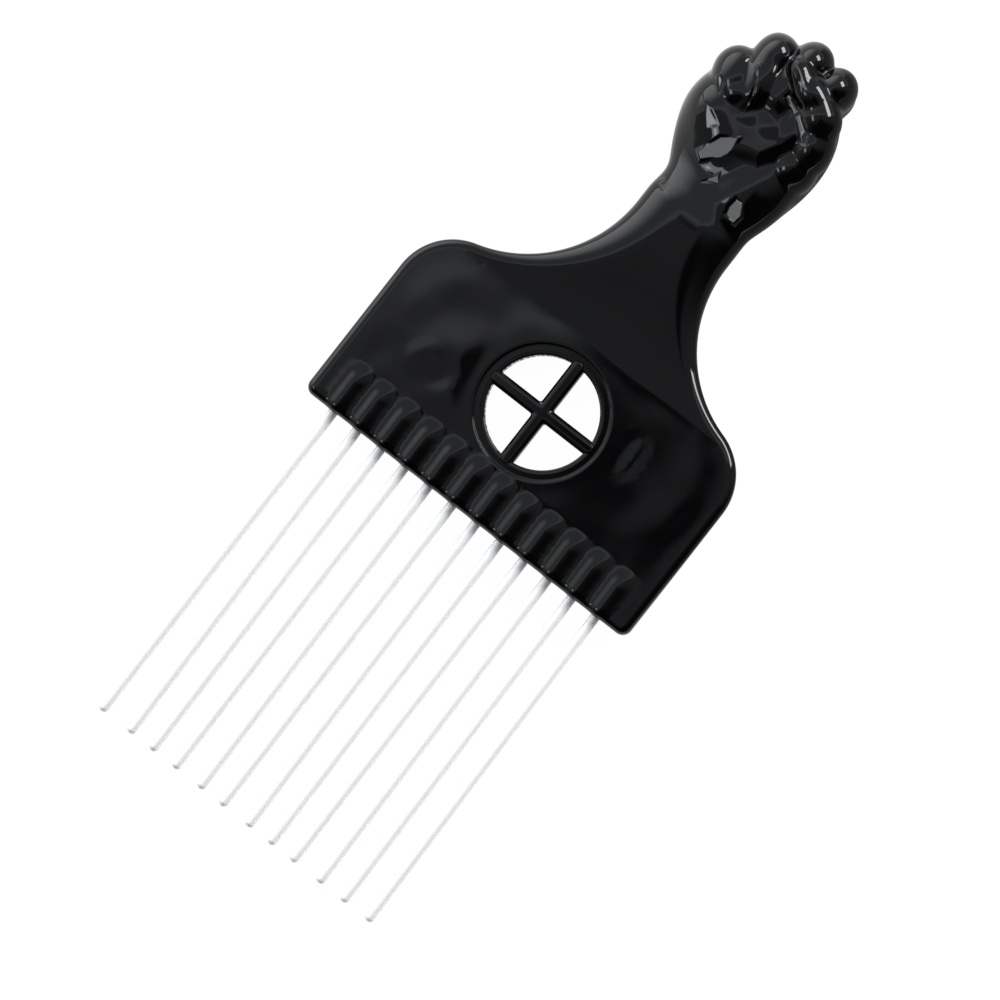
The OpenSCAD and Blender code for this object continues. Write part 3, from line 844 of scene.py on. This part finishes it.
def wire():
    """Bright pale wire, with faint drawing marks along it."""
    mat, nodes, links, bsdf = new_material("bright_wire")
    tree = mat.node_tree
    bsdf.inputs["Metallic"].default_value = WIRE_METALLIC
    stretch = nodes.new("ShaderNodeMapping")
    stretch.inputs["Scale"].default_value = MARK_STRETCH
    links.new(nodes.new("ShaderNodeTexCoord").outputs["Object"], stretch.inputs["Vector"])
    marks = texture(tree, stretch.outputs["Vector"], 1.0, MARK_DETAIL)
    links.new(colour_between(tree, marks, WIRE_DARK, WIRE_LIGHT), bsdf.inputs["Base Color"])
    links.new(between(tree, marks, *WIRE_ROUGH), bsdf.inputs["Roughness"])
    links.new(bump(tree, marks, *MARK_RELIEF), bsdf.inputs["Normal"])
    return mat


PLASTIC, WIRE = plastic(), wire()

# the handle
handle = add_mesh("handle_moulding", *build_handle(), PLASTIC)
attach(handle, "root")
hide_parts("handle")

cross = add_mesh("ring_cross", *build_cross(), PLASTIC)
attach(cross, "root")


# the tines
TINE_SIDES, TINE_ROWS, TIP_ROWS = 40, 40, 10


def build_tine(i, sides=TINE_SIDES):
    """A straight round wire with a domed tip, from its root in the plate."""
    x0, lean = tine_place(i)
    r = TINE_D / 2
    rings = [(s, r) for s in np.linspace(-ROOT, REACH - r, TINE_ROWS)]
    for a in np.linspace(0, math.pi / 2, TIP_ROWS)[1:-1]:
        rings.append((REACH - r + r * math.sin(a), r * math.cos(a)))
    foot = np.array([x0, 0, 0])
    through = np.array([0, 0, 1])
    down = np.array([math.sin(lean), -math.cos(lean), 0])
    over = np.array([math.cos(lean), math.sin(lean), 0])
    verts, faces = [], []
    for s, rr in rings:
        for k in range(sides):
            a = 2 * math.pi * k / sides
            verts.append(tuple(foot + down * s + rr * (math.cos(a) * over + math.sin(a) * through)))
    for n in range(len(rings) - 1):
        for k in range(sides):
            q = (k + 1) % sides
            a, b = n * sides, (n + 1) * sides
            faces.append((a + k, a + q, b + q, b + k))
    tip = len(verts)
    verts.append(tuple(foot + down * REACH))
    b = (len(rings) - 1) * sides
    for k in range(sides):
        faces.append((b + k, b + (k + 1) % sides, tip))
    faces.append(tuple(range(sides))[::-1])
    return verts, faces


for i in range(1, TINES + 1):
    tine = add_mesh(f"wire_{i:02d}", *build_tine(i), WIRE)
    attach(tine, "root")
    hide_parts(f"tine_{i:02d}")

# floor, light and camera
scene = bpy.context.scene
# the floor: half size and gap below the part in metres, colour, roughness, its strength as a white
# background, how much of it that is, and how far and where its glow is dimmed as painted shade, which
# only the plastic's reflections show
FLOOR_HALF, FLOOR_GAP = 3.0, 0.2 * MM
FLOOR_COLOUR, FLOOR_ROUGH = (0.86, 0.86, 0.87, 1), 0.7
FLOOR_WHITE, GLOW_SHARE, REFLECTED_SHADE_SHARE = 1.03, 0.95, 0.82
REFLECTED_SHADE_X, REFLECTED_SHADE_Y = (-0.016, 0.010), (-0.010, 0.020)


def floor():
    """A pale floor under the comb, tilted so that the fist's back and the tines' tips touch it."""
    co = np.array([v.co for v in handle.data.vertices])
    back = co[co[:, 2].argmin()]
    tip = np.array([0, -REACH * MM, -TINE_D / 2 * MM])
    slope = (back[2] - tip[2]) / (back[1] - tip[1])

    def height(y):
        return tip[2] + slope * (y - tip[1]) - FLOOR_GAP

    h = FLOOR_HALF
    verts = [(-h, -h, height(-h)), (h, -h, height(-h)), (h, h, height(h)), (-h, h, height(h))]
    mesh = bpy.data.meshes.new("floor")
    mesh.from_pydata(verts, [], [(0, 1, 2, 3)])
    obj = bpy.data.objects.new("floor", mesh)
    scene.collection.objects.link(obj)
    mat, nodes, links, bsdf = new_material("pale_floor")
    bsdf.inputs["Base Color"].default_value = FLOOR_COLOUR
    bsdf.inputs["Roughness"].default_value = FLOOR_ROUGH
    tree = mat.node_tree
    path = nodes.new("ShaderNodeLightPath").outputs
    axes = axes_of(tree, nodes.new("ShaderNodeTexCoord").outputs["Object"])
    # painted shade: the floor's glow, as the plastic mirrors it, is dimmed in a patch off the fist's right,
    # so that the fist's right side shows a dark reflection
    painted_shade = calc(tree, "MULTIPLY", step(tree, axes["X"], *REFLECTED_SHADE_X), step(tree, axes["Y"], *REFLECTED_SHADE_Y))
    mirrored_glow_with_painted_shade = calc(tree, "SUBTRACT", 1.0, calc(tree, "MULTIPLY", painted_shade, REFLECTED_SHADE_SHARE))
    shiny = calc(tree, "MAXIMUM", path["Is Glossy Ray"], path["Is Transmission Ray"])
    glow = nodes.new("ShaderNodeEmission")
    glow.inputs["Color"].default_value = (1, 1, 1, 1)
    straight = calc(tree, "MULTIPLY", path["Is Camera Ray"], FLOOR_WHITE)
    links.new(calc(tree, "MULTIPLY_ADD", shiny, mirrored_glow_with_painted_shade, straight), glow.inputs["Strength"])
    both = nodes.new("ShaderNodeMixShader")
    seen = calc(tree, "MAXIMUM", path["Is Camera Ray"], shiny)
    links.new(calc(tree, "MULTIPLY", seen, GLOW_SHARE), both.inputs["Fac"])
    links.new(bsdf.outputs["BSDF"], both.inputs[1])
    links.new(glow.outputs["Emission"], both.inputs[2])
    links.new(both.outputs["Shader"], nodes["Material Output"].inputs["Surface"])
    mesh.materials.append(mat)


floor()

# What hangs dark overhead, as seen from the comb: middle x and y of its direction, half width and
# half height, and the softness of its edges across and along
DARK = [
    (-0.0750, 0.018, 0.0165, 0.018, 0.008, 0.012),
    (0.470, -0.280, 0.370, 0.300, 0.080, 0.100)]
# how dark those shapes are, and the heights of the direction between which they come in
DARK_SHARE, DARK_FROM, DARK_TO = 0.97, 0.2, 0.4
# Brightness overhead: a base, and against the lean to the upper left, from, to and what is added
BASE_LEVEL, UPPER_LEFT = 0.02, 132.9
STEPS = [
    (-0.60, -0.02, 0.36),
    (0.060, 0.105, 0.20),
    (0.088, 0.125, 0.55),
    (0.130, 0.260, -0.42)]


# the glow low on the left: its azimuth, the lean from and to which it grows, and its brightness
GLOW_AZIMUTH, GLOW_FROM, GLOW_TO, GLOW_LEVEL = 160, 0.55, 1.0, 2.8
ROOM_COLOUR = (0.93, 0.96, 1.0, 1)


def along(tree, axes, angle):
    """How far a direction leans towards an azimuth."""
    a = math.radians(angle)
    across = calc(tree, "MULTIPLY", axes["X"], math.cos(a))
    return calc(tree, "MULTIPLY_ADD", axes["Y"], math.sin(a), across)


def room():
    """A dim room, lighter overhead on the left and brightest low on the left, with dark shapes above."""
    world = bpy.data.worlds.new("studio")
    scene.world = world
    world.use_nodes = True
    tree = world.node_tree
    axes = axes_of(tree, tree.nodes.new("ShaderNodeTexCoord").outputs["Generated"])
    upper_left = along(tree, axes, UPPER_LEFT)
    level = calc(tree, "ADD", BASE_LEVEL, 0.0)
    for low, high, more in STEPS:
        level = calc(tree, "ADD", level, step(tree, upper_left, low, high, 0.0, more))
    for x, y, half_w, half_h, soft_x, soft_y in DARK:
        parts = []
        for axis, middle, half, soft in (("X", x, half_w, soft_x), ("Y", y, half_h, soft_y)):
            off = calc(tree, "ABSOLUTE", calc(tree, "SUBTRACT", axes[axis], middle))
            parts.append(step(tree, off, half - soft, half + soft, DARK_SHARE, 0.0))
        both = calc(tree, "MULTIPLY", *parts)
        above = calc(tree, "MULTIPLY", both, step(tree, axes["Z"], DARK_FROM, DARK_TO))
        level = calc(tree, "MULTIPLY", level, calc(tree, "SUBTRACT", 1.0, above))
    low_left = step(tree, along(tree, axes, GLOW_AZIMUTH), GLOW_FROM, GLOW_TO, 0.0, GLOW_LEVEL)
    level = calc(tree, "ADD", level, low_left)
    background = tree.nodes["Background"]
    background.inputs["Color"].default_value = ROOM_COLOUR
    tree.links.new(level, background.inputs["Strength"])


room()

# what the lamps point at, and the tint of the left ones
MIDDLE = Vector((0, 18 * MM, 0))
COOL =(0.95, 0.97, 1.0)


def softbox(name, azimuth, elevation, distance, size, radiance, tint=(1, 1, 1)):
    """A soft area lamp. Azimuth is from +X towards +Y, and radiance is what a mirror would show of it."""
    a, e = math.radians(azimuth), math.radians(elevation)
    way = Vector((math.cos(a) * math.cos(e), math.sin(a) * math.cos(e), math.sin(e)))
    lamp = bpy.data.lights.new(name, "AREA")
    lamp.shape = "RECTANGLE"
    lamp.size, lamp.size_y = size
    lamp.energy = radiance * math.pi * size[0] * size[1]
    lamp.color = tint
    obj = bpy.data.objects.new(name, lamp)
    scene.collection.objects.link(obj)
    obj.location = MIDDLE + way * distance
    obj.rotation_euler = way.to_track_quat("Z", "Y").to_euler()


softbox("lamp_right", azimuth=66, elevation=30, distance=1.1, size=(0.62, 0.34), radiance=16.5)
softbox("lamp_left", azimuth=222, elevation=50, distance=1.1, size=(0.36, 0.26), radiance=4.0, tint=COOL)
softbox("lamp_left_core", azimuth=222, elevation=50, distance=1.09, size=(0.12, 0.10), radiance=5.0,
        tint=COOL)

# the camera: how far off, its sensor, and the photograph's scale and width in pixels
DISTANCE, SENSOR, MM_PER_PIXEL, PICTURE_W = 0.9, 36, 0.17454, 1000
# the comb's axis leans to the right of the picture's up direction, and the view comes a little from
# the right
ROLL, TILT = 38.1, 5
# the photograph's middle in the comb's plane
AIM = Vector((3.47 * MM, 5.76 * MM, 0))
NEAR, FAR_END = 0.01, 20


def camera():
    """The photograph's view."""
    data = bpy.data.cameras.new("camera")
    obj = bpy.data.objects.new("camera", data)
    scene.collection.objects.link(obj)
    scene.camera = obj
    data.sensor_width = SENSOR
    data.lens = SENSOR * DISTANCE / (PICTURE_W * MM_PER_PIXEL * MM)
    data.clip_start, data.clip_end = NEAR, FAR_END
    roll, tilt = math.radians(ROLL), math.radians(TILT)
    way = Vector((math.sin(tilt), 0, math.cos(tilt)))
    up = Vector((-math.sin(roll), math.cos(roll), 0))
    obj.location = AIM + way * DISTANCE
    back = way.normalized()
    right = up.cross(back).normalized()
    true_up = back.cross(right).normalized()
    obj.rotation_euler = Matrix((right, true_up, back)).transposed().to_euler()


camera()
scene.view_settings.view_transform = "Standard"
